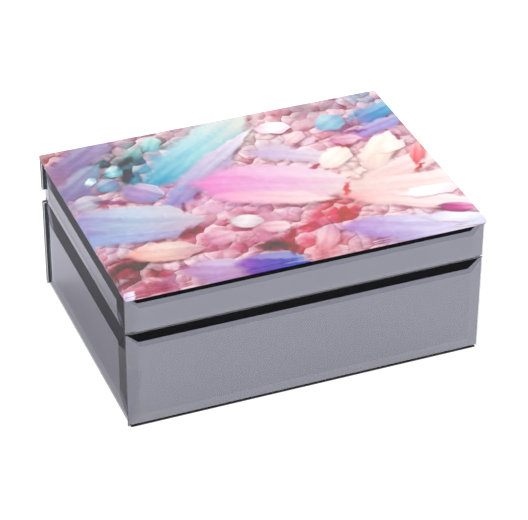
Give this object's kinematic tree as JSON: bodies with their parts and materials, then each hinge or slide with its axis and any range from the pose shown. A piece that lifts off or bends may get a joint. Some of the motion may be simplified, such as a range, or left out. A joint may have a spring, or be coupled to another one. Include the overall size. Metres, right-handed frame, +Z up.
{
  "type": "mirrored trinket box",
  "caption": "Rectangular velvet-lined trinket box faced with bevelled grey mirror glass, with a back-hinged lid topped by a clear glass plate over a pastel crystal print.",
  "frame": {"origin": "middle of the underside of the bottom felt", "axes": "+X along the width to the right, +Y to the hinged back, +Z up; the front faces -Y"},
  "size_m": [0.2, 0.146, 0.0835],
  "materials": {
    "mirror_glass": "bevelled smoked mirror glass, polished",
    "clear_glass": "clear float glass, ground arris",
    "printed_paper": "pastel crystal print, satin",
    "fibreboard": "fibreboard covered in black paper",
    "velvet": "black velvet",
    "black_felt": "black felt",
    "hinge_nickel": "nickel-plated steel",
    "hinge_steel": "bright steel"
  },
  "bodies": {
    "base": {"bottom_felt": "black_felt", "bottom_board": "fibreboard", "floor_board": "fibreboard", "base_front_board": "fibreboard", "base_back_board": "fibreboard", "base_left_board": "fibreboard", "base_right_board": "fibreboard", "base_front_glass": "mirror_glass", "base_back_glass": "mirror_glass", "base_left_glass": "mirror_glass", "base_right_glass": "mirror_glass", "base_front_lining": "velvet", "base_back_lining": "velvet", "base_left_lining": "velvet", "base_right_lining": "velvet", "floor_pad": "velvet", "left_hinge_base_leaf": "hinge_nickel", "right_hinge_base_leaf": "hinge_nickel", "left_hinge_pin": "hinge_steel", "right_hinge_pin": "hinge_steel", "hinge_base_screws": "hinge_steel"},
    "lid": {"lid_front_rail": "fibreboard", "lid_back_rail": "fibreboard", "lid_left_rail": "fibreboard", "lid_right_rail": "fibreboard", "lid_top_board": "fibreboard", "print_sheet": "printed_paper", "lid_top_glass": "clear_glass", "lid_front_glass": "mirror_glass", "lid_back_glass": "mirror_glass", "lid_left_glass": "mirror_glass", "lid_right_glass": "mirror_glass", "lid_front_lining": "velvet", "lid_back_lining": "velvet", "lid_left_lining": "velvet", "lid_right_lining": "velvet", "lid_pad": "velvet", "left_hinge_lid_leaf": "hinge_nickel", "right_hinge_lid_leaf": "hinge_nickel", "hinge_lid_screws": "hinge_steel"}
  },
  "joints": [
    {"name": "lid_hinge", "type": "hinge", "parent": "base", "child": "lid", "pos_m": [0, 0.07, 0.0585], "axis": [-1, 0, 0], "range_deg": [0, 100]}
  ]
}
